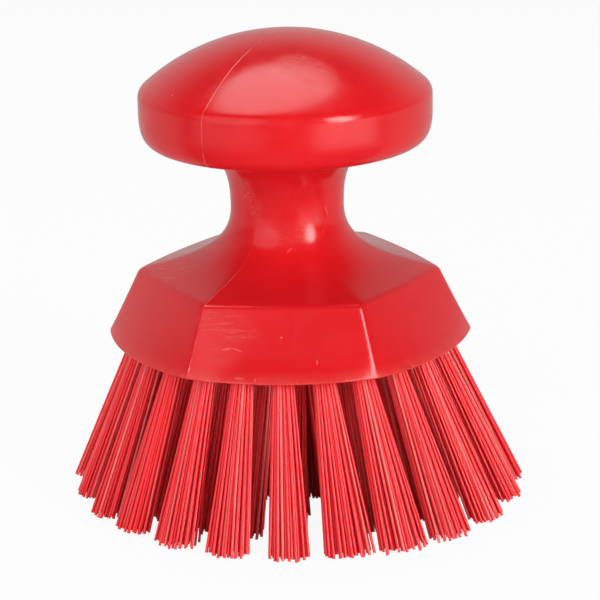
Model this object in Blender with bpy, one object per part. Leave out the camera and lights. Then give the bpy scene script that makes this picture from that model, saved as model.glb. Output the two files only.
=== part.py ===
"""Round hand scrubbing brush: a moulded body, its tufts of bristle and the plates that anchor them.

Metres, +Z up. The origin is the centre of the plane that the bristle tips stand on, and -Y is
the front, which one side of the six-sided block faces. Nothing on the brush moves.
"""

import math

import bmesh
import bpy
import numpy as np
from mathutils import Matrix, Vector

fit_gap = 0.0003  # left between neighbouring pieces
cut_overrun = 0.002  # how far a cutter passes the face that it cuts

# Body: one moulding of block, neck and knob. Heights are stacked from the tips upwards.
block_sides = 6
bristle_height = 0.0387  # tips to the block's underside
flank_height = 0.0158  # underside to the crease between flank and roof
roof_height = 0.0159  # crease to the waist of the neck
neck_height = 0.0153  # waist to the knob's underside
knob_edge_height = 0.0081  # rounded lower edge of the knob
knob_rim_height = 0.005  # upright rim of the knob, up to the crease of the dome
dome_height = 0.0137
base_corner_radius = 0.0442  # from the axis to a corner of the block, at its underside
crease_corner_radius = 0.0366
waist_radius = 0.0136
knob_radius = 0.035
knob_edge_width = 0.0064  # how far the knob's lower edge is rounded inwards
block_edge_round = 0.0006
dome_edge_round = 0.0015  # how far the dome's crease is rounded on either side

# Roundness of a section of the block: 0 has straight sides, 1 is a circle
base_roundness_share = 0.75
crease_roundness_share = 0.18
# Control points as shares of the way from a curve's start to its end: radius, height, roundness
roof_curve_shares = ((0, 0, 0), (0.71, 0.24, 0.35), (1, 0.45, 1), (1, 1, 1))
neck_curve_shares = ((0, 0, 0), (0, 0.69, 0), (0.17, 0.94, 0), (1, 1, 0))
knob_edge_shares = ((0, 0, 0), (0.76, 0, 0), (1, 0.24, 0), (1, 1, 0))

body_segments = 48
roof_steps = 9
neck_steps = 7
knob_edge_steps = 4
dome_edge_steps = 2
dome_steps = 6

# Tufts: rings of 6, 12, 18 and 24 round a centre one, leaning outwards
hole_inset = 0.0086  # from the corners of the block's underside in to the outer ring of holes
tip_spread = 0.0172  # how much further out than their holes the outer tufts end
added_tuft_count = 6  # tufts that a ring has more than the ring inside it
outer_ring = 4  # rings are numbered from the centre tuft, which is ring 0
odd_ring_turn_share = 0.5  # of its pitch that every second ring is turned, against gaps in line
hole_radius = 0.0026
hole_depth = 0.01
tip_width = 0.0098  # of one tuft, round the brush
tip_depth = 0.0046  # of one tuft, from the axis outwards
mouth_proud = 0.0004  # how far the packed root stands out of its hole
outer_strands = 8  # in each tuft of the outer ring
inner_strands = 7
strand_width = 0.0016  # of one three-sided strand at its tip, along its face
strand_depth = 0.0018  # of one strand at its tip, from its face to its edge
strand_foot_share = 0.8  # of its wedge of the root that a strand fills where it leaves it

# Backing: the slice of the block that carries each inner ring of tufts
backing_thickness = 0.003
backing_margin = 0.0006  # beyond the outermost roots
backing_segments = 24

# Anchors: flat plates that the outer tufts are folded over
anchor_thickness = 0.00045
anchor_height = 0.002
anchor_bite = 0.0006  # into the wall at either side of the hole
fold_thickness = 0.0014  # of the bristle that goes round the deep side of an anchor

middle_ring = outer_ring - 1
inner_ring = middle_ring - 1
hole_pitch = (base_corner_radius - hole_inset) / outer_ring
tip_pitch = hole_pitch + tip_spread / outer_ring
root_radius = hole_radius - fit_gap
root_depth = hole_depth - fit_gap
anchor_length = 2 * (hole_radius + anchor_bite)
anchor_depth = root_depth - fold_thickness - fit_gap - anchor_height / 2
pocket_depth = backing_thickness + fit_gap
backing_radius = middle_ring * hole_pitch + root_radius + backing_margin


def new_collection(name):
    collection = bpy.data.collections.new(name)
    bpy.context.scene.collection.children.link(collection)
    return collection


def new_material(name, colour, roughness, metallic):
    material = bpy.data.materials.new(name)
    material.use_nodes = True
    shader = material.node_tree.nodes["Principled BSDF"]
    shader.inputs["Base Color"].default_value = (*colour, 1)
    shader.inputs["Roughness"].default_value = roughness
    shader.inputs["Metallic"].default_value = metallic
    material.diffuse_color = (*colour, 1)
    return material


def new_empty(name, parent, location=(0, 0, 0), turn=0):
    empty = bpy.data.objects.new(name, None)
    brush_parts.objects.link(empty)
    empty.parent = parent
    empty.location = location
    empty.rotation_euler.z = turn
    return empty


def new_part(name, mesh, material, parent):
    part = bpy.data.objects.new(name, mesh)
    brush_parts.objects.link(part)
    part.parent = parent
    if not mesh.materials:
        mesh.materials.append(material)
    return part


def new_cutter(name, mesh, parent):
    cutter = bpy.data.objects.new(name, mesh)
    brush_cutters.objects.link(cutter)
    cutter.parent = parent
    cutter.hide_render = True
    cutter.display_type = "WIRE"
    return cutter


def mesh_from(bm, name):
    mesh = bpy.data.meshes.new(name)
    bm.to_mesh(mesh)
    bm.free()
    return mesh


def combine(part, helper, operation):
    boolean = part.modifiers.new(f"{operation.lower()} {helper.name}", "BOOLEAN")
    boolean.operation = operation
    boolean.object = helper


def bezier(control_points, steps):
    """Points along a curve after its start, by mixing neighbouring control points until one is left."""
    share = np.linspace(0, 1, steps + 1)[1:, None, None]
    points = np.repeat(np.array(control_points, float)[None], steps, axis=0)
    while points.shape[1] > 1:
        points = points[:, :-1] * (1 - share) + points[:, 1:] * share
    return points[:, 0]


def shared_curve(start, end, shares, steps):
    start, end = np.array(start), np.array(end)
    return bezier(start + np.array(shares) * (end - start), steps)


def body_profile():
    """Rows of corner radius, height over the underside and roundness, from the underside to the dome."""
    crease = (crease_corner_radius, flank_height, crease_roundness_share)
    waist = (waist_radius, flank_height + roof_height, 1)
    underside = (knob_radius - knob_edge_width, waist[1] + neck_height, 1)
    rim_foot = (knob_radius, underside[1] + knob_edge_height, 1)
    dome_crease = (knob_radius, rim_foot[1] + knob_rim_height, 1)
    dome_radius = (knob_radius**2 + dome_height**2) / (2 * dome_height)
    dome_centre = dome_crease[1] + dome_height - dome_radius
    dome_angle = math.asin(knob_radius / dome_radius) - dome_edge_round / dome_radius
    angles = np.linspace(dome_angle, 0, dome_steps + 1)[:-1]
    dome = [(dome_radius * math.sin(a), dome_centre + dome_radius * math.cos(a), 1) for a in angles]
    rim_top = (knob_radius, dome_crease[1] - dome_edge_round, 1)
    return np.vstack(
        (
            (base_corner_radius - block_edge_round, 0, base_roundness_share),
            (base_corner_radius, block_edge_round, base_roundness_share),
            crease,
            shared_curve(crease, waist, roof_curve_shares, roof_steps),
            shared_curve(waist, underside, neck_curve_shares, neck_steps),
            shared_curve(underside, rim_foot, knob_edge_shares, knob_edge_steps),
            rim_top,
            bezier((rim_top, dome_crease, dome[0]), dome_edge_steps),
            dome[1:],
            (0, dome_crease[1] + dome_height, 1),
        )
    )


def section(corner_radius, height, roundness):
    """Closed outline: a straight-sided polygon mixed with the circle through its corners."""
    half_side = math.pi / block_sides
    angles = np.linspace(0, 2 * math.pi, body_segments, endpoint=False)
    off_side = (angles + half_side) % (2 * half_side) - half_side
    straight = corner_radius * math.cos(half_side) / np.cos(off_side)
    radii = (1 - roundness) * straight + roundness * corner_radius
    return np.column_stack((radii * np.sin(angles), -radii * np.cos(angles), np.full_like(angles, height)))


def body_mesh():
    """Lofts the six-sided block through the round neck into the knob, closed by a fan at the apex."""
    *rows, apex = body_profile()
    bm = bmesh.new()
    rings = [[bm.verts.new(point) for point in section(*row)] for row in rows]
    for lower, upper in zip(rings, rings[1:]):
        for i in range(body_segments):
            bm.faces.new((lower[i - 1], lower[i], upper[i], upper[i - 1]))
    top = bm.verts.new((0, 0, apex[1]))
    for i in range(body_segments):
        bm.faces.new((rings[-1][i - 1], rings[-1][i], top))
    bm.faces.new(reversed(rings[0]))
    mesh = mesh_from(bm, "brush_body")
    mesh.shade_smooth()
    mesh.set_sharp_from_angle(angle=math.radians(25))
    return mesh


def ring_angles(ring):
    """Turns of a ring's tufts from the front, where every second ring has a gap."""
    if ring == 0:
        return [0]
    count = added_tuft_count * ring
    return [2 * math.pi * (i + ring % 2 * odd_ring_turn_share) / count for i in range(count)]


def station_frame(ring, angle):
    """A hole's mouth in the block's underside: Z up, Y towards the axis."""
    return Matrix.Rotation(angle, 4, "Z") @ Matrix.Translation((0, -ring * hole_pitch, 0))


def add_round(bm, radius, low, high, frame, segments):
    """A cylinder along the frame's Z, between two heights."""
    middle = Matrix.Translation((0, 0, (low + high) / 2))
    return bmesh.ops.create_cone(
        bm,
        cap_ends=True,
        segments=segments,
        radius1=radius,
        radius2=radius,
        depth=high - low,
        matrix=frame @ middle,
    )["verts"]


def add_box(bm, width, depth, height, frame):
    size = Matrix.Diagonal((width, depth, height, 1))
    bmesh.ops.create_cube(bm, size=1, matrix=frame @ size)


def add_tuft(bm, station, ring, root_tilt, grip, strands):
    """A packed root in its hole and the strands that spread from its mouth to the plane of the tips.

    The mouth is split into a zigzag row of three-sided wedges, and a strand is lofted from each.
    Strands keep their order across the tuft, in two staggered rows, so none crosses another.
    """
    frame = station @ root_tilt
    root = add_round(bm, root_radius, -mouth_proud, grip, frame, strands + 2)
    to_frame = frame.inverted()
    spots = {vert: to_frame @ vert.co for vert in root}
    mouth = [vert for vert in root if spots[vert].z < 0]
    mouth.sort(key=lambda vert: (round(spots[vert].x / root_radius, 3), spots[vert].y))
    bm.faces.remove(next(face for face in mouth[0].link_faces if len(face.verts) == len(mouth)))
    to_tips = station @ Matrix.Translation((0, ring * (hole_pitch - tip_pitch), -bristle_height))
    pitch = (tip_width - strand_width) / (strands - 1)
    for i in range(strands):
        wedge = mouth[i : i + 3]
        left, edge, right = (spots[vert] for vert in wedge)
        centre = (left + edge + right) / 3
        foot = [frame @ centre.lerp(corner, strand_foot_share) for corner in (left, edge, right)]
        side = math.copysign(1, left.y - edge.y)
        across = (i - (strands - 1) / 2) * pitch
        face_at = side * tip_depth / 2
        edge_at = face_at - side * strand_depth
        half = strand_width / 2
        tip = [(across - half, face_at, 0), (across, edge_at, 0), (across + half, face_at, 0)]
        loops = [wedge]
        loops.append([bm.verts.new(point) for point in foot])
        loops.append([bm.verts.new(to_tips @ Vector(point)) for point in tip])
        for above, below in zip(loops, loops[1:]):
            for j in range(3):
                bm.faces.new((above[j - 1], above[j], below[j], below[j - 1]))
        bm.faces.new(loops[-1])


def add_tuft_ring(name, rings):
    """One slice of the backing with the tufts of its rings fused to it.

    Slices meet halfway between two rings, and the middle ring's reaches the edge of the backing.
    """
    inner_radius = (rings[0] - 0.5) * hole_pitch + fit_gap / 2
    outer_radius = (rings[-1] + 0.5) * hole_pitch - fit_gap / 2
    if rings[-1] == middle_ring:
        outer_radius = backing_radius
    bm = bmesh.new()
    add_round(bm, outer_radius, 0, backing_thickness, Matrix(), backing_segments)
    slice_part = new_part(name, mesh_from(bm, name), bristle_material, underside)
    if inner_radius > 0:
        bm = bmesh.new()
        add_round(bm, inner_radius, -cut_overrun, backing_thickness + cut_overrun, Matrix(), backing_segments)
        combine(slice_part, new_cutter(f"{name}_bore", mesh_from(bm, name), underside), "DIFFERENCE")
    bm = bmesh.new()
    for ring in rings:
        for angle in ring_angles(ring):
            add_tuft(bm, station_frame(ring, angle), ring, Matrix(), backing_thickness / 2, inner_strands)
    bmesh.ops.recalc_face_normals(bm, faces=bm.faces[:])
    combine(slice_part, new_cutter(f"{name}_tufts", mesh_from(bm, name), underside), "UNION")


for leftover in list(bpy.data.objects):
    bpy.data.objects.remove(leftover)
brush_parts = new_collection("round_hand_brush")
brush_cutters = new_collection("cutters")
body_material = new_material("red_body", (0.745, 0.014, 0.019), 0.3, 0)
bristle_material = new_material("red_bristle", (0.686, 0.028, 0.038), 0.45, 0)
anchor_material = new_material("anchor_steel", (0.62, 0.62, 0.6), 0.35, 1)

brush = new_empty("brush", None)
underside = new_empty("block_underside", brush, (0, 0, bristle_height))

# Body, with a hole and an anchor's slot for each outer tuft, and a pocket for the inner slices
hole_tilt = Matrix.Rotation(-math.atan(tip_spread / bristle_height), 4, "X")
body = new_part("brush_body", body_mesh(), body_material, underside)
bm = bmesh.new()
for angle in ring_angles(outer_ring):
    hole_frame = station_frame(outer_ring, angle) @ hole_tilt
    add_round(bm, hole_radius, -cut_overrun, hole_depth, hole_frame, outer_strands + 2)
combine(body, new_cutter("tuft_holes", mesh_from(bm, "tuft_holes"), underside), "DIFFERENCE")
slot_size = (anchor_length + 2 * fit_gap, anchor_thickness + 2 * fit_gap, anchor_height + 2 * fit_gap)
to_anchor = Matrix.Translation((0, 0, anchor_depth))
bm = bmesh.new()
for angle in ring_angles(outer_ring):
    add_box(bm, *slot_size, station_frame(outer_ring, angle) @ hole_tilt @ to_anchor)
combine(body, new_cutter("anchor_slots", mesh_from(bm, "anchor_slots"), underside), "DIFFERENCE")
bm = bmesh.new()
add_round(bm, backing_radius + fit_gap, -cut_overrun, pocket_depth, Matrix(), backing_segments)
combine(body, new_cutter("backing_pocket", mesh_from(bm, "backing_pocket"), underside), "DIFFERENCE")

# Outer tufts and their anchors, one of each at every station of the outer ring
stations = []
for i, angle in enumerate(ring_angles(outer_ring), 1):
    place = station_frame(outer_ring, angle).translation
    stations.append(new_empty(f"tuft_station_{i:02d}", underside, place, angle))
bm = bmesh.new()
add_tuft(bm, Matrix(), outer_ring, hole_tilt, root_depth, outer_strands)
bmesh.ops.recalc_face_normals(bm, faces=bm.faces[:])
first_tuft = new_part("outer_tuft_01", mesh_from(bm, "tuft_blank"), bristle_material, stations[0])
bm = bmesh.new()
add_box(bm, *slot_size, hole_tilt @ to_anchor)
combine(first_tuft, new_cutter("tuft_slot", mesh_from(bm, "tuft_slot"), stations[0]), "DIFFERENCE")
graph = bpy.context.evaluated_depsgraph_get()
tuft_mesh = bpy.data.meshes.new_from_object(first_tuft.evaluated_get(graph))
first_tuft.modifiers.clear()
first_tuft.data = tuft_mesh
bm = bmesh.new()
add_box(bm, anchor_length, anchor_thickness, anchor_height, Matrix())
anchor_mesh = mesh_from(bm, "tuft_anchor")
for i, station in enumerate(stations, 1):
    if i > 1:
        new_part(f"outer_tuft_{i:02d}", tuft_mesh, bristle_material, station)
    anchor = new_part(f"tuft_anchor_{i:02d}", anchor_mesh, anchor_material, station)
    anchor.matrix_local = hole_tilt @ to_anchor

# Inner tufts, in slices of the backing that fill the pocket
add_tuft_ring("middle_tuft_ring", (middle_ring,))
add_tuft_ring("inner_tuft_ring", (inner_ring,))
add_tuft_ring("centre_tufts", range(inner_ring))
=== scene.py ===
"""The looks of a round hand scrubbing brush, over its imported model.

Metres, +Z up, in the model's frame: the bristle tips stand on Z = 0 and -Y is the front.
"""

import math

import bpy
import numpy as np
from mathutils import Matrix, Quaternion, Vector


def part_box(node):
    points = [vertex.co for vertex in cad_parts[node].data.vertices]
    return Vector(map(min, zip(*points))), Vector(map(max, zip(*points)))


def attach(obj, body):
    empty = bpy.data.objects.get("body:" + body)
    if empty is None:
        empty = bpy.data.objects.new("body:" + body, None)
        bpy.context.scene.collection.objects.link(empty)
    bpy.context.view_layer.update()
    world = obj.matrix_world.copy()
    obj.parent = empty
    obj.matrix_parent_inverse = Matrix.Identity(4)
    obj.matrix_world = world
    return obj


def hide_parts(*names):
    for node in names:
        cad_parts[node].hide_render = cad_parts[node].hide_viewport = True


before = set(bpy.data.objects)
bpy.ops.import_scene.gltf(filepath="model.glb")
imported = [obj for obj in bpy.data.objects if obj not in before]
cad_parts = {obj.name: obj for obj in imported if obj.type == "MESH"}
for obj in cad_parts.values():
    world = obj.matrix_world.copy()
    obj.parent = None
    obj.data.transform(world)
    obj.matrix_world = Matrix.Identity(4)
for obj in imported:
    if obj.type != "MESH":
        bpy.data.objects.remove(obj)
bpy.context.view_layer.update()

# Body: one moulding of red plastic, a palm knob on a waisted neck on a six-sided block.
# Its mould parts through two opposite corners of the block. A fine raised line is left there from
# the block's lower edge to the top of the dome, with a bit of flash low on the front.
body_low, body_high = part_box("brush_body")
underside_height = body_low.z
dome_top_height = body_high.z
base_corner_radius = body_high.x
flank_height = 0.0158
roof_height = 0.0159
neck_height = 0.0153
knob_edge_height = 0.0081
knob_rim_height = 0.005
crease_corner_radius = 0.0366
waist_radius = 0.0136
knob_radius = 0.035
knob_edge_width = 0.0064
base_edge_round = 0.0006
crease_round = 0.0011
dome_edge_round = 0.0015
corner_round = 0.0009
base_roundness_share = 0.75
crease_roundness_share = 0.18
flare_power = 3
roof_curve_shares = ((0, 0, 0), (0.71, 0.24, 0.35), (1, 0.45, 1), (1, 1, 1))
neck_curve_shares = ((0, 0, 0), (0, 0.69, 0), (0.17, 0.94, 0), (1, 1, 0))
knob_edge_shares = ((0, 0, 0), (0.76, 0, 0), (1, 0.24, 0), (1, 1, 0))
parting_turn = math.radians(-30)
parting_width = 0.00011
parting_proud = 0.00006
parting_unevenness = 0.25
parting_waves = (900, 370)
parting_gap_height = 0.0725
parting_gap_reach = 0.012
parting_gap_share = 0.85
flash_rise = 0.0022
flash_length = 0.0013
flash_proud = 0.00025
base_edge_rows = 5
flank_rows = 21
crease_rows = 8
roof_rows = 60
neck_rows = 32
knob_edge_rows = 22
dome_edge_rows = 9
dome_rows = 36
columns_per_half_side = 36
corner_crowding = 1.6


def curve(control_points, steps):
    """A Bezier curve after its start: neighbouring control points are mixed until one is left."""
    share = np.linspace(0, 1, steps + 1)[1:, None, None]
    points = np.repeat(np.array(control_points, float)[None], steps, axis=0)
    while points.shape[1] > 1:
        points = points[:, :-1] * (1 - share) + points[:, 1:] * share
    return points[:, 0]


def shared_curve(start, end, shares, steps):
    """A Bezier curve whose control points are shares of the way from its start to its end."""
    start, end = np.array(start), np.array(end)
    return curve(start + np.array(shares) * (end - start), steps)


def towards(start, end, distance):
    """The point at a distance from the start, in radius and height, on the straight way to the end."""
    start, end = np.array(start, float), np.array(end, float)
    return start + (end - start) * distance / math.hypot(*(end - start)[:2])


def body_meridian():
    """Rows of corner radius, height and roundness, from the underside to the apex, creases rounded.

    On the flank the roundness grows with a power of the way down from the crease, so that the flank
    stays flat above and flares near the lower edge. The dome is a part of a sphere.
    """
    base = (base_corner_radius, underside_height, base_roundness_share)
    crease = (crease_corner_radius, underside_height + flank_height, crease_roundness_share)
    waist = (waist_radius, crease[1] + roof_height, 1)
    knob_low = (knob_radius - knob_edge_width, waist[1] + neck_height, 1)
    rim_foot = (knob_radius, knob_low[1] + knob_edge_height, 1)
    dome_crease = (knob_radius, rim_foot[1] + knob_rim_height, 1)
    base_inner = (base[0] - base_edge_round, *base[1:])
    flank_low = towards(base, crease, base_edge_round)
    flank_top = towards(crease, base, crease_round)
    dome_height = dome_top_height - dome_crease[1]
    dome_radius = (knob_radius**2 + dome_height**2) / (2 * dome_height)
    reach = math.asin(knob_radius / dome_radius) - dome_edge_round / dome_radius
    angles = np.linspace(reach, 0, dome_rows + 1)
    dome = np.column_stack((np.sin(angles), np.cos(angles) - 1, 0 * angles)) * dome_radius
    dome += (0, dome_top_height, 1)
    flank = flank_low + (flank_top - flank_low) * np.linspace(0, 1, flank_rows + 1)[1:, None]
    below_crease = (crease[1] - flank[:, 1]) / flank_height
    flank[:, 2] = crease[2] + (base[2] - crease[2]) * below_crease**flare_power
    roof = shared_curve(crease, waist, roof_curve_shares, roof_rows)
    roof = roof[np.hypot(*(roof - crease)[:, :2].T) > crease_round]
    rim_top = towards(dome_crease, rim_foot, dome_edge_round)
    return np.vstack(
        (
            base_inner,
            curve((base_inner, base, flank_low), base_edge_rows),
            flank,
            curve((flank[-1], crease, roof[0]), crease_rows),
            roof[1:],
            shared_curve(waist, knob_low, neck_curve_shares, neck_rows),
            shared_curve(knob_low, rim_foot, knob_edge_shares, knob_edge_rows),
            rim_top,
            curve((rim_top, dome_crease, dome[0]), dome_edge_rows),
            dome[1:-1],
        )
    )


def body_surface(meridian, turns):
    """The body's skin over turns from the front and rows of the meridian.

    A section is a straight-sided hexagon mixed with the circle through its corners. The hexagon's
    radius is the corner radius times cos 30 over the cosine of the angle off the middle of a side,
    and that angle passes each corner as a hyperbola, which rounds the corner. The parting line
    stands out along the skin's normal as a narrow bell curve, highest where the flash is and almost
    gone on the neck.
    """
    radius, height, roundness = (column[:, None] for column in meridian.T)
    half_side = math.pi / 6
    off_corner = (turns % (2 * half_side) - half_side)[None]
    off_side = half_side - np.hypot(off_corner, corner_round / radius)
    across = (1 - roundness) * radius * math.cos(half_side) / np.cos(off_side) + roundness * radius
    rise = np.gradient(meridian[:, 1])[:, None]
    run = np.gradient(meridian[:, 0])[:, None]
    slope = np.hypot(rise, run)
    off_parting = ((turns - parting_turn + math.pi / 2) % math.pi - math.pi / 2)[None] * across
    waves = np.sin(height * parting_waves[0]) * np.sin(height * parting_waves[1] + 1)
    off_gap = (height - parting_gap_height) / parting_gap_reach
    line = parting_proud * (1 - parting_unevenness + parting_unevenness * waves)
    line = line * (1 - parting_gap_share * np.exp(-(off_gap**2)))
    in_front = np.cos(turns - parting_turn)[None] > 0
    flash = flash_proud * np.exp(-(((height - underside_height - flash_rise) / flash_length) ** 2))
    proud = (line + in_front * flash) * np.exp(-((off_parting / parting_width) ** 2))
    across = across + proud * rise / slope
    height = height - proud * run / slope
    return np.stack((across * np.sin(turns), -across * np.cos(turns), height + 0 * across), axis=-1)


def tube_faces(rows, columns, first=0):
    """Quads between neighbouring rings of a grid of points, and one polygon to close either end."""
    grid = first + np.arange(rows * columns).reshape(rows, columns)
    onward = np.roll(grid, -1, axis=1)
    quads = np.stack((grid[:-1], onward[:-1], onward[1:], grid[1:]), axis=-1).reshape(-1, 4)
    return [*quads.tolist(), grid[0, ::-1].tolist(), grid[-1].tolist()]


def new_piece(name, points, faces):
    """An object at the origin, with its place in its mesh."""
    mesh = bpy.data.meshes.new(name)
    mesh.from_pydata(np.reshape(points, (-1, 3)).tolist(), [], faces)
    mesh.validate()
    piece = bpy.data.objects.new(name, mesh)
    bpy.context.scene.collection.objects.link(piece)
    return piece


# Columns of the skin crowd towards each corner, by a power of their way to it.
past_corner = math.pi / 6 * np.linspace(0, 1, columns_per_half_side + 1) ** corner_crowding
corner_offsets = np.concatenate((-past_corner[:0:-1], past_corner[:-1]))
body_turns = (math.pi / 6 + math.pi / 3 * np.arange(6)[:, None] + corner_offsets).ravel()
skin = body_surface(body_meridian(), body_turns)
body = new_piece("moulded_body", skin, tube_faces(*skin.shape[:2]))

# Body's holes: blind holes drilled in the underside, one for each tuft, in rings round a centre
# one. They lean with their tufts, every second ring is turned by half its pitch, and their mouths
# are broken a little by the drill.
ring_count = 4
tufts_more_per_ring = 6
hole_inset = 0.0086
tip_spread = 0.0172
hole_radius = 0.0026
hole_depth = 0.0097
mouth_round = 0.00025
cutter_overrun = 0.002
cutter_sides = 28
sharp_edge_angle = math.radians(35)
hole_pitch = (base_corner_radius - hole_inset) / ring_count
tip_pitch = hole_pitch + tip_spread / ring_count


def ring_turns(ring):
    """Turns of a ring's tufts from the front, where every second ring has a gap."""
    count = max(1, tufts_more_per_ring * ring)
    return 2 * math.pi * (np.arange(count) + ring % 2 / 2) / count


def hole_axes(ring):
    """Mouths of a ring's holes, their outward and sideways directions, and the way down their tufts."""
    turns = ring_turns(ring)
    outward = np.stack((np.sin(turns), -np.cos(turns), 0 * turns), axis=-1)
    sideways = np.stack((np.cos(turns), np.sin(turns), 0 * turns), axis=-1)
    mouths = outward * ring * hole_pitch + (0, 0, underside_height)
    down = outward * ring * (tip_pitch - hole_pitch) - (0, 0, underside_height)
    return mouths, outward, sideways, down / np.linalg.norm(down, axis=-1, keepdims=True)


def hole_cutters(ring):
    """Cylinders up the holes' axes, coned at the mouth: centre plus radius times a turning direction."""
    mouths, outward, sideways, down = hole_axes(ring)
    depths = np.array((-cutter_overrun, 0, mouth_round, hole_depth))
    radii = hole_radius + np.array((mouth_round * 2, mouth_round, 0, 0))
    turning = 2 * math.pi * np.arange(cutter_sides) / cutter_sides
    across = np.cross(sideways, down)
    around = np.cos(turning)[:, None] * sideways[:, None] + np.sin(turning)[:, None] * across[:, None]
    centres = mouths[:, None] - down[:, None] * depths[:, None]
    return centres[:, :, None] + radii[:, None, None] * around[:, None]


cutters = np.concatenate([hole_cutters(ring) for ring in range(ring_count + 1)])
cutter_faces = []
for i in range(len(cutters)):
    cutter_faces += tube_faces(*cutters.shape[1:3], first=i * cutters[0, :, :, 0].size)
cutter = new_piece("hole_cutter", cutters, cutter_faces)
boolean = body.modifiers.new("holes", "BOOLEAN")
boolean.operation = "DIFFERENCE"
boolean.object = cutter
graph = bpy.context.evaluated_depsgraph_get()
body.data = bpy.data.meshes.new_from_object(body.evaluated_get(graph))
body.modifiers.clear()
bpy.data.objects.remove(cutter)
body.data.shade_smooth()
body.data.set_sharp_from_angle(angle=sharp_edge_angle)

# Body's finish: glossy moulded plastic with a faint flow in it. The parting line is rubbed paler. A pale
# band along the lower edge is a painted highlight where the edge catches light off the table, with some
# rubbing in it. The hand, the bench and other tools have left smears, scuffs and scratches.
plastic_red = (0.71, 0.01, 0.0145, 1)
plastic_deep_red = (0.69, 0.009, 0.0135, 1)
# Pale pink of scrapes, and of the painted highlight along the lower edge.
scrape_and_sheen_pink = (0.84, 0.17, 0.14, 1)
polished_roughness = 0.16
smeared_roughness = 0.24
scratch_roughness = 0.35
scuff_roughness = 0.03
peel_height = 0.000004
scratch_depth = 0.00003
scuff_depth = 0.00009
streak_stretch = (0.033, 1, 1)
streak_edge = 0.1
patch_strength = 0.16
scratched_all_over = 0.08
pale_line_edges = (0.00005, 0.00018)
# Reach and strength of the lower edge's pale band: a painted highlight where the edge catches light, with
# some rubbing.
low_edge_reach = 0.003
low_edge_sheen_strength = 0.24


def add_node(tree, kind, inputs=(), **settings):
    """A shader node with its settings. An input is linked to a socket and set to anything else."""
    node = tree.nodes.new(kind if kind.startswith("NodeGroup") else f"ShaderNode{kind}")
    for name, value in settings.items():
        setattr(node, name, value)
    for name, value in dict(inputs).items():
        if isinstance(value, bpy.types.NodeSocket):
            tree.links.new(value, node.inputs[name])
        else:
            node.inputs[name].default_value = value
    return node


def handling_mark_group():
    """Mask of a mark the shape of a grain of rice: its strength within it, and 0 past its skin.

    The place is moved, turned and shrunk until the grain is a ball of radius 1, and the mask falls
    smoothly from half that radius on.
    """
    group = bpy.data.node_groups.new("handling_mark", "ShaderNodeTree")
    for name in ("Place", "Middle", "Turn", "Size"):
        group.interface.new_socket(name, in_out="INPUT", socket_type="NodeSocketVector")
    group.interface.new_socket("Strength", in_out="INPUT", socket_type="NodeSocketFloat")
    group.interface.new_socket("Mask", in_out="OUTPUT", socket_type="NodeSocketFloat")
    given = add_node(group, "NodeGroupInput").outputs
    grain = {
        "Vector": given["Place"],
        "Location": given["Middle"],
        "Rotation": given["Turn"],
        "Scale": given["Size"],
    }
    moved = add_node(group, "Mapping", grain, vector_type="TEXTURE").outputs[0]
    off = add_node(group, "VectorMath", {0: moved}, operation="LENGTH").outputs["Value"]
    add_node(group, "NodeGroupOutput", {"Mask": ramp(group, off, 0.5, 1, given["Strength"], 0)})
    return group


def new_material(name, colour, roughness, metallic=0):
    """A material with its nodes and its main shader."""
    material = bpy.data.materials.new(name)
    material.use_nodes = True
    shader = material.node_tree.nodes["Principled BSDF"]
    shader.inputs["Base Color"].default_value = colour
    shader.inputs["Roughness"].default_value = roughness
    shader.inputs["Metallic"].default_value = metallic
    return material, material.node_tree, shader


def strongest_mark(tree, place, group, marks):
    """The largest mask of some marks: each a start, end and width in millimetres, and a strength."""
    strongest = 0.0
    for start, end, width, strength in marks:
        start, end = Vector(start) / 1000, Vector(end) / 1000
        width = width / 1000
        mark = add_node(tree, "Group", node_tree=group)
        mark.inputs["Middle"].default_value = (start + end) / 2
        mark.inputs["Turn"].default_value = (end - start).to_track_quat("X", "Z").to_euler()
        mark.inputs["Size"].default_value = ((end - start).length / 2 + width, width, width)
        mark.inputs["Strength"].default_value = strength
        tree.links.new(place, mark.inputs["Place"])
        strongest = maths(tree, "MAXIMUM", strongest, mark.outputs["Mask"])
    return strongest


def blend(tree, factor, low, high):
    """A colour between two others."""
    inputs = {"Factor": factor, "A": low, "B": high}
    return add_node(tree, "Mix", inputs, data_type="RGBA").outputs["Result"]


def ramp(tree, value, low, high, low_result, high_result):
    """A smooth change from one result to another while the value goes from low to high."""
    ends = {"Value": value, "From Min": low, "From Max": high, "To Min": low_result, "To Max": high_result}
    return add_node(tree, "MapRange", ends, interpolation_type="SMOOTHSTEP").outputs["Result"]


def maths(tree, operation, first, second=0):
    """The result of one operation on two values."""
    return add_node(tree, "Math", {0: first, 1: second}, operation=operation).outputs[0]


def along(tree, place, direction):
    """How far a place lies along a direction, as their dot product."""
    node = add_node(tree, "VectorMath", {0: place, 1: direction}, operation="DOT_PRODUCT")
    return node.outputs["Value"]


def noise(tree, place, frequency, detail, distortion=0):
    """Plain noise from 0 to 1 at a place."""
    inputs = {"Vector": place, "Scale": frequency, "Detail": detail, "Distortion": distortion}
    return add_node(tree, "TexNoise", inputs).outputs[0]


def dress(tree, shader, colour, roughness, relief):
    """Gives a shader its colour, its roughness, and its normal from a relief in metres."""
    bump = add_node(tree, "Bump", {"Height": relief, "Distance": 1.0})
    tree.links.new(colour, shader.inputs["Base Color"])
    tree.links.new(roughness, shader.inputs["Roughness"])
    tree.links.new(bump.outputs[0], shader.inputs["Normal"])


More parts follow.
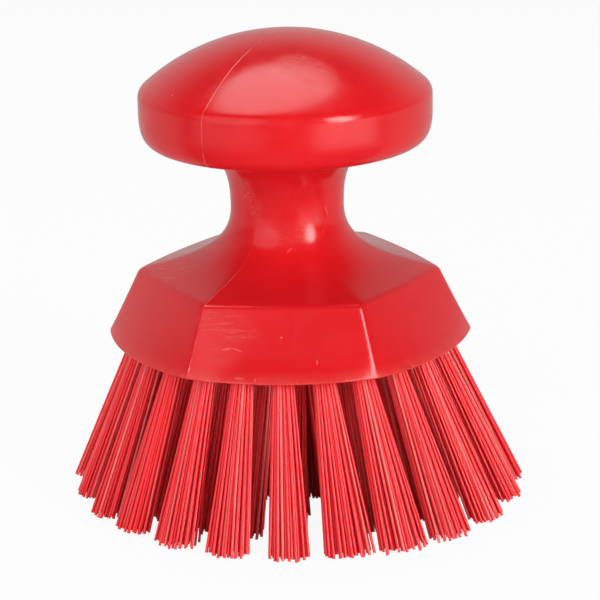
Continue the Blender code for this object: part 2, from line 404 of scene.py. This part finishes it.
def drawn_grain_group():
    """Noise drawn out along an axis, for fine scratches, rolling marks and the skin of filament.

    The place is turned back by Turn and multiplied by Stretch before the noise reads it.
    """
    group = bpy.data.node_groups.new("drawn_grain", "ShaderNodeTree")
    for name in ("Place", "Turn", "Stretch"):
        group.interface.new_socket(name, in_out="INPUT", socket_type="NodeSocketVector")
    group.interface.new_socket("Frequency", in_out="INPUT", socket_type="NodeSocketFloat")
    group.interface.new_socket("Grain", in_out="OUTPUT", socket_type="NodeSocketFloat")
    given = add_node(group, "NodeGroupInput").outputs
    turns = {"Vector": given["Place"], "Rotation": given["Turn"]}
    turned = add_node(group, "VectorRotate", turns, rotation_type="EULER_XYZ").outputs[0]
    drawn = add_node(group, "VectorMath", {0: turned, 1: given["Stretch"]}, operation="MULTIPLY").outputs[0]
    add_node(group, "NodeGroupOutput", {"Grain": noise(group, drawn, given["Frequency"], 2, 0.15)})
    return group


def drawn_grain(tree, place, stretch, frequency, turn=(0, 0, 0)):
    """The grain of the shared group at a place, with its stretch, frequency and turn."""
    node = add_node(tree, "Group", node_tree=grain_group)
    tree.links.new(place, node.inputs["Place"])
    node.inputs["Turn"].default_value = turn
    node.inputs["Stretch"].default_value = stretch
    node.inputs["Frequency"].default_value = frequency
    return node.outputs["Grain"]


def streaks(tree, place, turn, frequency, threshold):
    """Mask of fine straight streaks: drawn grain above a threshold."""
    grain = drawn_grain(tree, place, streak_stretch, frequency, turn)
    return ramp(tree, grain, threshold, threshold + streak_edge, 0, 1)


grain_group = drawn_grain_group()
material, tree, shader = new_material("glossy_red_plastic", plastic_red, polished_roughness)
place = add_node(tree, "TexCoord").outputs["Object"]
mark_group = handling_mark_group()
scratches = strongest_mark(
    tree,
    place,
    mark_group,
    (
        ((-13.8, -36.3, 45.3), (-11.5, -36.4, 45.7), 0.3, 0.4),
        ((-11.5, -36.4, 45.7), (-9.0, -37.0, 45.0), 0.25, 0.3),
        ((-18.1, -39.5, 39.1), (-16.0, -40.1, 39.0), 0.35, 0.4),
        ((-11.1, -40.5, 39.9), (-8.3, -41.0, 39.8), 0.35, 0.4),
        ((-6.0, -41.9, 39.3), (-6.1, -41.1, 40.0), 0.25, 0.5),
        ((8.1, -38.1, 43.3), (8.1, -38.9, 42.4), 0.25, 0.45),
        ((-0.2, -35.6, 47.9), (-0.1, -35.6, 48.0), 0.3, 0.6),
        ((2.6, -14.6, 64.6), (8.7, -13.1, 63.4), 0.25, 0.3),
        ((0.5, -16.1, 62.6), (1.7, -15.3, 63.6), 0.25, 0.3),
        ((9.4, -9.9, 72.5), (10.1, -9.2, 69.6), 0.3, 0.25),
        ((10.1, -9.2, 69.6), (8.7, -11.9, 65.0), 0.3, 0.25),
        ((-32.1, -2.8, 55.3), (-27.6, -7.1, 56.0), 0.3, 0.5),
        ((-27.6, -7.1, 56.0), (-23.1, -8.8, 57.2), 0.3, 0.5),
        ((-23.1, -8.8, 57.2), (-18.9, -7.0, 59.4), 0.3, 0.45),
        ((-30.3, -9.4, 54.9), (-25.6, -13.5, 55.6), 0.3, 0.4),
        ((5.0, -16.6, 109.5), (5.2, -16.7, 109.5), 0.35, 0.6),
        ((9.5, -21.6, 106.8), (9.7, -20.9, 107.1), 0.3, 0.5),
        ((-25.0, -19.6, 101.5), (-24.8, -19.8, 101.5), 0.3, 0.4),
    ),
)
scuffed = strongest_mark(
    tree,
    place,
    mark_group,
    (
        ((3.5, -19.5, 108.5), (9.0, -22.5, 106.5), 6.5, 1),
        ((-10.2, -10.2, 78.0), (-6.5, -12.0, 71.0), 3.2, 1),
        ((4.0, -13.5, 67.0), (-4.0, -14.0, 66.0), 3.5, 0.5),
        ((-30.0, -5.0, 55.5), (-20.0, -8.0, 59.0), 7, 0.6),
        ((-18.5, -33.0, 51.5), (-8.0, -35.0, 49.5), 4.0, 1),
        ((-17.0, -36.5, 45.0), (-14.0, -39.5, 41.5), 4, 0.35),
        ((20.0, 26.0, 103.0), (6.0, 30.0, 102.0), 8, 0.8),
        ((30.0, 27.0, 46.0), (38.0, 12.0, 44.0), 4, 0.8),
        ((-24.0, 34.0, 44.0), (-36.0, 18.0, 43.0), 4, 0.6),
    ),
)
crossing = streaks(tree, place, (0.3, 0.5, 0.4), 2600, 0.72)
everywhere = maths(tree, "MAXIMUM", crossing, streaks(tree, place, (0.9, -0.4, 1.9), 2200, 0.73))
lengthwise = streaks(tree, place, (0, 0.06, 0.1), 2600, 0.5)
in_patches = maths(tree, "MAXIMUM", lengthwise, streaks(tree, place, (0.5, 0.3, 0.9), 2300, 0.6))
smear = noise(tree, place, 130, 4, 2)
film = maths(tree, "MULTIPLY", in_patches, patch_strength)
film = maths(tree, "ADD", film, ramp(tree, smear, 0.35, 0.8, 0.005, 0.03))
worn = maths(tree, "MULTIPLY", scuffed, film)
worn = maths(tree, "ADD", worn, maths(tree, "MULTIPLY", everywhere, scratched_all_over))

height = add_node(tree, "SeparateXYZ", {0: place}).outputs["Z"]
broken = noise(tree, place, 260, 2)
across_parting = (math.cos(parting_turn), math.sin(parting_turn), 0)
off_parting = maths(tree, "ABSOLUTE", along(tree, place, across_parting))
off_gap = maths(tree, "ABSOLUTE", maths(tree, "SUBTRACT", height, parting_gap_height))
parting = ramp(tree, broken, 0.42, 0.66, 0.03, 0.42)
parting = maths(tree, "MULTIPLY", parting, ramp(tree, off_gap, 0.006, 0.016, 0.1, 1))
parting = ramp(tree, off_parting, *pale_line_edges, parting, 0)
# Painted highlight along the lower edge, partly rubbing, paler towards the underside.
low_edge_top = underside_height + low_edge_reach
low_edge_sheen_and_wear = ramp(tree, height, underside_height, low_edge_top, low_edge_sheen_strength, 0)
low_edge_sheen_and_wear = maths(tree, "MULTIPLY", low_edge_sheen_and_wear, ramp(tree, broken, 0.3, 0.7, 0.45, 1))
pale = maths(tree, "MAXIMUM", maths(tree, "MAXIMUM", scratches, worn), parting)
pale = maths(tree, "MAXIMUM", pale, low_edge_sheen_and_wear)

flow = noise(tree, place, 70, 3, 1.5)
red = blend(tree, ramp(tree, flow, 0.35, 0.65, 0, 1), plastic_deep_red, plastic_red)
roughness = ramp(tree, smear, 0.3, 0.75, polished_roughness, smeared_roughness)
roughness = maths(tree, "ADD", roughness, maths(tree, "MULTIPLY", pale, scratch_roughness))
roughness = maths(tree, "ADD", roughness, maths(tree, "MULTIPLY", scuffed, scuff_roughness))
peel = maths(tree, "MULTIPLY", noise(tree, place, 500, 1), peel_height)
cut = maths(tree, "MULTIPLY", scratches, scratch_depth)
cut = maths(tree, "MAXIMUM", cut, maths(tree, "MULTIPLY", worn, scuff_depth))
relief = maths(tree, "SUBTRACT", peel, cut)
dress(tree, shader, blend(tree, pale, red, scrape_and_sheen_pink), roughness, relief)
body.data.materials.append(material)
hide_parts("brush_body")
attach(body, "root")

# Anchors: short pieces of bright steel strip, driven into the outer holes over the folded tufts.
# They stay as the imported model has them, hidden in the block.
steel_bright = (0.72, 0.72, 0.7, 1)
steel_dull = (0.5, 0.5, 0.48, 1)
groove_depth = 0.000004

material, tree, shader = new_material("bright_steel_strip", (0.62, 0.62, 0.6, 1), 0.32, 1)
place = add_node(tree, "TexCoord").outputs["Object"]
rolled = drawn_grain(tree, place, (1, 1, 0.08), 5000)
colour = blend(tree, rolled, steel_dull, steel_bright)
roughness = ramp(tree, rolled, 0.3, 0.7, 0.25, 0.45)
dress(tree, shader, colour, roughness, maths(tree, "MULTIPLY", rolled, groove_depth))
for name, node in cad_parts.items():
    if name.startswith("tuft_anchor_"):
        node.data.materials.clear()
        node.data.materials.append(material)

# Tufts: bundles of straight red filament, packed tight in their holes and fanned out below them.
# Each filament keeps its place in the bundle, and the ends are trimmed a little uneven. The brush
# has been used, so some tufts lean, and those on the left are shortest. Some filaments are painted
# pale pink along their length, a painted highlight for the pale lines that gloss draws on them.
filament_radius = 0.00034
filaments_per_tuft = 58
golden_turn = math.pi * (3 - math.sqrt(5))
bundle_radius = 0.00226
shown_root = 0.005
tip_half_width = 0.0048
tip_half_depth = 0.0034
tip_wander = 0.0001
bow = 0.00006
bow_stations = (0, 0.3, 0.65, 1)
trim_unevenness = 0.0004
filament_sides = 6
filament_edge_angle = math.radians(65)
bristle_lean = 0.0006
stray_share = 0.015
stray_reach = 0.0016
tuft_unevenness = 0.0005
outer_draw_in = 0.001
tuft_wear = 0.0003
bristle_red = (0.97, 0.038, 0.048, 1)
bristle_deep_red = (0.93, 0.028, 0.037, 1)
# Pink of the painted highlight lines on some filaments.
bristle_highlight_pink = (0.98, 0.26, 0.23, 1)
skin_depth = 0.000003
draws = np.random.default_rng(24)

# A tuft's filaments lie on a spiral: each is a golden turn on from the last, and its distance from
# the middle is the square root of its share of the count.
step = np.arange(filaments_per_tuft)[:, None] + 0.5
spiral = np.hstack((np.cos(step * golden_turn), np.sin(step * golden_turn)))
lattice = spiral * np.sqrt(step / filaments_per_tuft) * bundle_radius


def filaments(axes, sway=0, splay=0, trim=0, parting=0, fan=1):
    """Closed six-sided tubes for every filament of some tufts, as tuft, filament, row and side.

    A filament runs straight down its hole, then from its place at the mouth to the same place in
    the wider fan at the tips, bowed by a sine over its length. Its rings are the centre line plus
    the filament's radius times a direction that turns round the tuft's axis. A parting pushes the
    left and right halves of a tuft's tips apart, and a fan widens them sideways.
    """
    mouths, outward, sideways, down = axes
    tufts, count = len(mouths), len(lattice)
    across = np.cross(sideways, down)
    lattice_x, lattice_y = lattice[None, :, :1], lattice[None, :, 1:]
    mouth = mouths[:, None] + lattice_x * sideways[:, None] + lattice_y * across[:, None]
    tip_centre = mouths + down * (underside_height / -down[:, 2:]) + (bristle_lean, 0, 0)
    tip_centre = tip_centre + np.reshape(sway, (-1, 1)) * sideways + np.reshape(splay, (-1, 1)) * outward
    spread = lattice / bundle_radius * (tip_half_width, tip_half_depth)
    stray = (draws.uniform(0, 1, (tufts, count, 1)) < stray_share) * stray_reach
    spread = spread[None] + draws.normal(0, 1, (tufts, count, 2)) * (tip_wander + stray)
    spread[..., 0] *= np.reshape(fan, (-1, 1))
    spread[..., 0] += np.sign(lattice[:, 0]) * np.reshape(parting, (-1, 1))
    tip = tip_centre[:, None] + spread[..., :1] * sideways[:, None] - spread[..., 1:] * outward[:, None]
    short = np.abs(draws.normal(0, trim_unevenness, (tufts, count, 1))) + np.reshape(trim, (-1, 1, 1))
    way = tip - mouth
    way = way * (1 - (short + filament_radius / 2) / -way[..., 2:])
    shares = np.array(bow_stations)[:, None]
    bend = draws.normal(0, bow, (tufts, count, 1, 1)) * sideways[:, None, None]
    bend = bend + draws.normal(0, bow, (tufts, count, 1, 1)) * outward[:, None, None]
    shown = mouth[:, :, None] + way[:, :, None] * shares + bend * np.sin(math.pi * shares)
    deep = (mouth - down[:, None] * shown_root)[:, :, None]
    line = np.concatenate((deep, shown), axis=2)[:, :, ::-1]
    turning = 2 * math.pi * np.arange(filament_sides) / filament_sides
    ring = np.cos(turning)[:, None] * sideways[:, None] + np.sin(turning)[:, None] * across[:, None]
    return line[:, :, :, None] + filament_radius * ring[:, None, None]


def tuft_piece(name, tufts, node):
    """One piece of closed tubes, with a random tone for each filament, which also picks the filaments
    painted with a pink highlight.
    """
    points = tufts.reshape(-1, *tufts.shape[2:])
    count, rows, sides = points.shape[:3]
    first = np.arange(count)[:, None, None] * rows * sides
    tube = tube_faces(rows, sides)
    quads = (first + np.array(tube[:-2])).reshape(-1, 4)
    ends = (first + np.array(tube[-2:])).reshape(-1, sides)
    piece = new_piece(name, points, [*quads.tolist(), *ends.tolist()])
    piece.data.shade_smooth()
    piece.data.set_sharp_from_angle(angle=filament_edge_angle)
    tone = piece.data.attributes.new("filament_tone", "FLOAT", "POINT")
    tones = np.repeat(draws.uniform(0, 1, count), rows * sides)
    tone.data.foreach_set("value", tones.astype(np.float32))
    piece.data.materials.append(bristle_material)
    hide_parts(node)
    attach(piece, "root")


bristle_material, tree, shader = new_material("red_filament", bristle_red, 0.28)
shader.inputs["IOR"].default_value = 1.56
tone = add_node(tree, "Attribute", attribute_name="filament_tone").outputs["Fac"]
place = add_node(tree, "TexCoord").outputs["Object"]
grain_along_length = maths(tree, "SUBTRACT", drawn_grain(tree, place, (1, 1, 0.2), 220), 0.5)
tone_and_sheen = maths(tree, "ADD", tone, maths(tree, "MULTIPLY", grain_along_length, 0.25))
red = blend(tree, ramp(tree, tone_and_sheen, 0, 0.7, 0, 1), bristle_deep_red, bristle_red)
# Painted highlight: filaments of the highest tone and grain are blended towards pink.
colour = blend(tree, ramp(tree, tone_and_sheen, 0.75, 1, 0, 0.55), red, bristle_highlight_pink)
roughness = ramp(tree, tone_and_sheen, 0, 1, 0.2, 0.14)
drawn = maths(tree, "MULTIPLY", drawn_grain(tree, place, (1, 1, 0.05), 6000), skin_depth)
dress(tree, shader, colour, roughness, drawn)

outer_count = tufts_more_per_ring * ring_count
sway = draws.normal(0, tuft_unevenness, outer_count)
splay = draws.normal(0, tuft_unevenness, outer_count) - outer_draw_in
trim = np.abs(draws.normal(0, tuft_wear, outer_count))
fan = np.ones(outer_count)
# The thirteen tufts in front, from the left: lean, splay and trim in millimetres, and width.
front = np.arange(-6, 7)
sway[front] = np.array((0.3, 0.3, 0.5, -0.4, -0.4, -0.3, 0.7, 1.1, 0.4, -0.1, 0.6, 1.2, 0.5)) / 1000
splay[front] = np.array((-0.6, -1.2, -1.2, -1.2, -1.2, -1.2, -1.2, -1, 0.6, 0.9, 0.6, 0.6, 0)) / 1000
trim[front] = np.array((1.8, 1.3, 0.9, 0.8, 0.4, 0.1, 0, 0, 0, 0, 0, 0, 0)) / 1000
fan[front] = (1, 1, 1, 1, 1.1, 1.12, 1, 1.24, 1.28, 1.25, 1.2, 1.1, 1)
outer_tufts = filaments(hole_axes(ring_count), sway, splay, trim, fan=fan)
for i, tuft in enumerate(outer_tufts, 1):
    tuft_piece(f"outer_filaments_{i:02d}", tuft[None], f"outer_tuft_{i:02d}")
# Of the two middle tufts next to the front, one leans aside and the other is parted.
middle_count = outer_count - tufts_more_per_ring
middle_sway = draws.normal(0, tuft_unevenness, middle_count)
middle_sway[-1] = -0.0038
middle_parting = np.zeros(middle_count)
middle_parting[0] = 0.0026
middle_tufts = filaments(hole_axes(ring_count - 1), middle_sway, parting=middle_parting)
tuft_piece("middle_filaments", middle_tufts, "middle_tuft_ring")
tuft_piece("inner_filaments", filaments(hole_axes(ring_count - 2)), "inner_tuft_ring")
centre_tufts = np.concatenate((filaments(hole_axes(1)), filaments(hole_axes(0))))
tuft_piece("centre_filaments", centre_tufts, "centre_tufts")

# Studio: a pale floor under a round softbox, an upright bright one on the right, a wide weak one on
# the left, and fills from the front and off the table. In the gloss the floor is dark with bright
# cards on it, and the room is brighter low behind the brush.
floor_size = 12
floor_white_share = 0.93
mirrored_table_level = 0.03
right_card_azimuth = 49
left_card_azimuth = -44
back_card_azimuth = 180
card_edge_half_width = 10
card_fade = 0.2

corners = np.array(((-1, -1, 0), (1, -1, 0), (1, 1, 0), (-1, 1, 0))) * floor_size / 2
floor = new_piece("floor", corners, [(0, 1, 2, 3)])
material, tree, shader = new_material("pale_floor", (0.86, 0.86, 0.86, 1), 0.9)
shader.inputs["Specular IOR Level"].default_value = 0
ray = add_node(tree, "LightPath")
white = add_node(tree, "Emission", {"Color": (1, 1, 1, 1), "Strength": 1})
seen_share = maths(tree, "MULTIPLY", ray.outputs["Is Camera Ray"], floor_white_share)
seen = add_node(tree, "MixShader", {0: seen_share, 1: shader.outputs[0], 2: white.outputs[0]})
spot = add_node(tree, "TexCoord").outputs["Object"]
heading = add_node(tree, "VectorMath", {0: spot}, operation="NORMALIZE").outputs[0]
away = add_node(tree, "VectorMath", {0: spot}, operation="LENGTH").outputs["Value"]
# The cards: azimuth and half width in degrees, level, and where they begin.
glow = mirrored_table_level
for azimuth, half_width, card_level, nearest in (
    (right_card_azimuth, 23, 1.6, 0.16),
    (left_card_azimuth, 26, 0.45, 0.16),
    (back_card_azimuth, 98, 0.5, -0.2),
):
    turn = math.radians(azimuth)
    off = along(tree, heading, (math.sin(turn), -math.cos(turn), 0))
    outer_edge = math.cos(math.radians(half_width + card_edge_half_width))
    inner_edge = math.cos(math.radians(half_width - card_edge_half_width))
    reached = ramp(tree, away, nearest, nearest + card_fade, 0, card_level)
    glow = maths(tree, "ADD", glow, ramp(tree, off, outer_edge, inner_edge, 0, reached))
dim = add_node(tree, "Emission", {"Color": (1, 1, 1, 1), "Strength": glow})
mirror_ray = ray.outputs["Is Glossy Ray"]
mirrored = add_node(tree, "MixShader", {0: mirror_ray, 1: seen.outputs[0], 2: dim.outputs[0]})
clear = add_node(tree, "BsdfTransparent")
from_below = add_node(tree, "NewGeometry").outputs["Backfacing"]
one_sided = add_node(tree, "MixShader", {0: from_below, 1: mirrored.outputs[0], 2: clear.outputs[0]})
tree.links.new(one_sided.outputs[0], tree.nodes["Material Output"].inputs["Surface"])
floor.data.materials.append(material)

world = bpy.data.worlds.new("studio_room")
bpy.context.scene.world = world
world.use_nodes = True
tree = world.node_tree
facing = add_node(tree, "TexCoord").outputs["Generated"]
upwards = add_node(tree, "SeparateXYZ", {0: facing}).outputs["Z"]
behind = ramp(tree, along(tree, facing, (-0.1, 1, 0)), -0.3, 0.8, 0.05, 0.55)
room = maths(tree, "MULTIPLY", behind, ramp(tree, upwards, 0.4, 0.8, 1, 0.1))
camera_ray = add_node(tree, "LightPath").outputs["Is Camera Ray"]
strength = add_node(tree, "Mix", {"Factor": camera_ray, "A": room, "B": 1.0}).outputs["Result"]
tree.links.new(strength, tree.nodes["Background"].inputs["Strength"])
tree.nodes["Background"].inputs["Color"].default_value = (1, 1, 1, 1)

lamp_aim = Vector((0, 0, 0.08))


def way_out(azimuth, elevation):
    """The way out from the brush, by degrees round from the front and degrees up."""
    azimuth, elevation = math.radians(azimuth), math.radians(elevation)
    flat = math.cos(elevation)
    return Vector((math.sin(azimuth) * flat, -math.cos(azimuth) * flat, math.sin(elevation)))


def softbox(name, azimuth, elevation, distance, width, height, radiance, mirrored=True, shape="RECTANGLE"):
    """A flat lamp on a sphere round the brush. Its power is its radiance times pi times its area.

    A lamp below the floor shines through its underside, as light off the table does. One that isn't
    mirrored lights the brush without showing in its gloss.
    """
    lamp = bpy.data.lights.new(name, "AREA")
    lamp.shape = shape
    lamp.size, lamp.size_y = width, height
    share = math.pi / 4 if shape == "ELLIPSE" else 1
    lamp.energy = radiance * math.pi * width * height * share
    out = way_out(azimuth, elevation)
    box = bpy.data.objects.new(name, lamp)
    box.location = lamp_aim + out * distance
    box.rotation_mode = "QUATERNION"
    box.rotation_quaternion = out.to_track_quat("Z", "Y")
    box.visible_glossy = mirrored
    bpy.context.scene.collection.objects.link(box)


softbox("overhead_softbox", 203, 76, 1.2, 1.06, 0.8, 3.2, shape="ELLIPSE")
softbox("right_softbox", 46, 18, 1.1, 0.38, 0.84, 9.5, shape="ELLIPSE")
softbox("left_softbox", -42, 23, 1.2, 1.2, 1.2, 0.9, shape="ELLIPSE")
softbox("front_fill", -5, 40, 1.4, 1.0, 0.8, 1.1, mirrored=False)
softbox("low_front_fill", -12, 10, 1.4, 1.6, 0.5, 2.0, mirrored=False)
softbox("left_table_bounce", -80, -14, 0.8, 1.0, 0.4, 2.9, mirrored=False)
softbox("right_table_bounce", 80, -14, 0.8, 1.0, 0.4, 0.4, mirrored=False)

# Camera: a long lens a little above the brush and slightly to its right, as photographed. It is
# rolled by about a degree, and shifted until the brush stands where it does in the picture.
camera_target = Vector((0, 0, 0.0545))
camera_distance = 0.6211
camera_azimuth = 3
camera_elevation = 16.2
camera_roll = 1.2
sensor_millimetres = 36
focal_pixels = 2567.7
picture_pixels = 600
target_pixel = (288.6, 266.9)

lens = bpy.data.cameras.new("camera")
lens.sensor_width = sensor_millimetres
lens.lens = focal_pixels / picture_pixels * lens.sensor_width
lens.shift_x = 0.5 - target_pixel[0] / picture_pixels
lens.shift_y = target_pixel[1] / picture_pixels - 0.5
camera = bpy.data.objects.new("camera", lens)
back = way_out(camera_azimuth, camera_elevation)
roll = Quaternion((0, 0, 1), -math.radians(camera_roll))
camera.location = camera_target + back * camera_distance
camera.rotation_mode = "QUATERNION"
camera.rotation_quaternion = back.to_track_quat("Z", "Y") @ roll
bpy.context.scene.collection.objects.link(camera)
bpy.context.scene.camera = camera
bpy.context.scene.view_settings.view_transform = "Standard"
